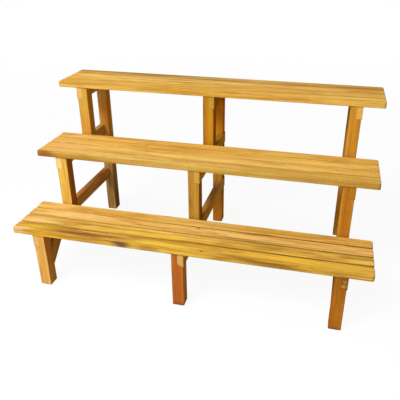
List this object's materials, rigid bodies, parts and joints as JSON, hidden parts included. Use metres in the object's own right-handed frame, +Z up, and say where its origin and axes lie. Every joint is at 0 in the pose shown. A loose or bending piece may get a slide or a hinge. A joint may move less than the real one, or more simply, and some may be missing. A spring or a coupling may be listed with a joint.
{
  "type": "tiered plant stand",
  "caption": "Free-standing wooden plant stand with stepped slatted shelves carried on lapped leg frames.",
  "frame": {"origin": "middle of the stand's bounding box on the floor plane", "axes": "+X along the shelves to the right seen from the front, +Y from the lowest shelf to the rear legs, +Z up"},
  "size_m": [1.2, 0.631, 0.626],
  "materials": {
    "slat_wood": "oiled, satin",
    "leg_wood": "oiled, satin",
    "bearer_wood": "oiled, matt",
    "fixing_steel": "galvanized"
  },
  "bodies": {
    "root": {"bottom_shelf_slat_1": "slat_wood", "bottom_shelf_slat_2": "slat_wood", "bottom_shelf_slat_3": "slat_wood", "bottom_shelf_slat_4": "slat_wood", "bottom_shelf_nails": "fixing_steel", "middle_shelf_slat_1": "slat_wood", "middle_shelf_slat_2": "slat_wood", "middle_shelf_slat_3": "slat_wood", "middle_shelf_slat_4": "slat_wood", "middle_shelf_nails": "fixing_steel", "top_shelf_slat_1": "slat_wood", "top_shelf_slat_2": "slat_wood", "top_shelf_slat_3": "slat_wood", "top_shelf_slat_4": "slat_wood", "top_shelf_nails": "fixing_steel", "left_bottom_leg": "leg_wood", "left_bottom_bearer": "bearer_wood", "left_middle_leg": "leg_wood", "left_middle_bearer": "bearer_wood", "left_top_leg": "leg_wood", "left_top_bearer": "bearer_wood", "left_rear_leg": "leg_wood", "left_brace": "bearer_wood", "left_lap_nails": "fixing_steel", "left_brace_nails": "fixing_steel", "centre_bottom_leg": "leg_wood", "centre_bottom_bearer": "bearer_wood", "centre_middle_leg": "leg_wood", "centre_middle_bearer": "bearer_wood", "centre_top_leg": "leg_wood", "centre_top_bearer": "bearer_wood", "centre_rear_leg": "leg_wood", "centre_brace": "bearer_wood", "centre_lap_nails": "fixing_steel", "centre_brace_nails": "fixing_steel", "right_bottom_leg": "leg_wood", "right_bottom_bearer": "bearer_wood", "right_middle_leg": "leg_wood", "right_middle_bearer": "bearer_wood", "right_top_leg": "leg_wood", "right_top_bearer": "bearer_wood", "right_rear_leg": "leg_wood", "right_brace": "bearer_wood", "right_lap_nails": "fixing_steel", "right_brace_nails": "fixing_steel"}
  },
  "joints": []
}
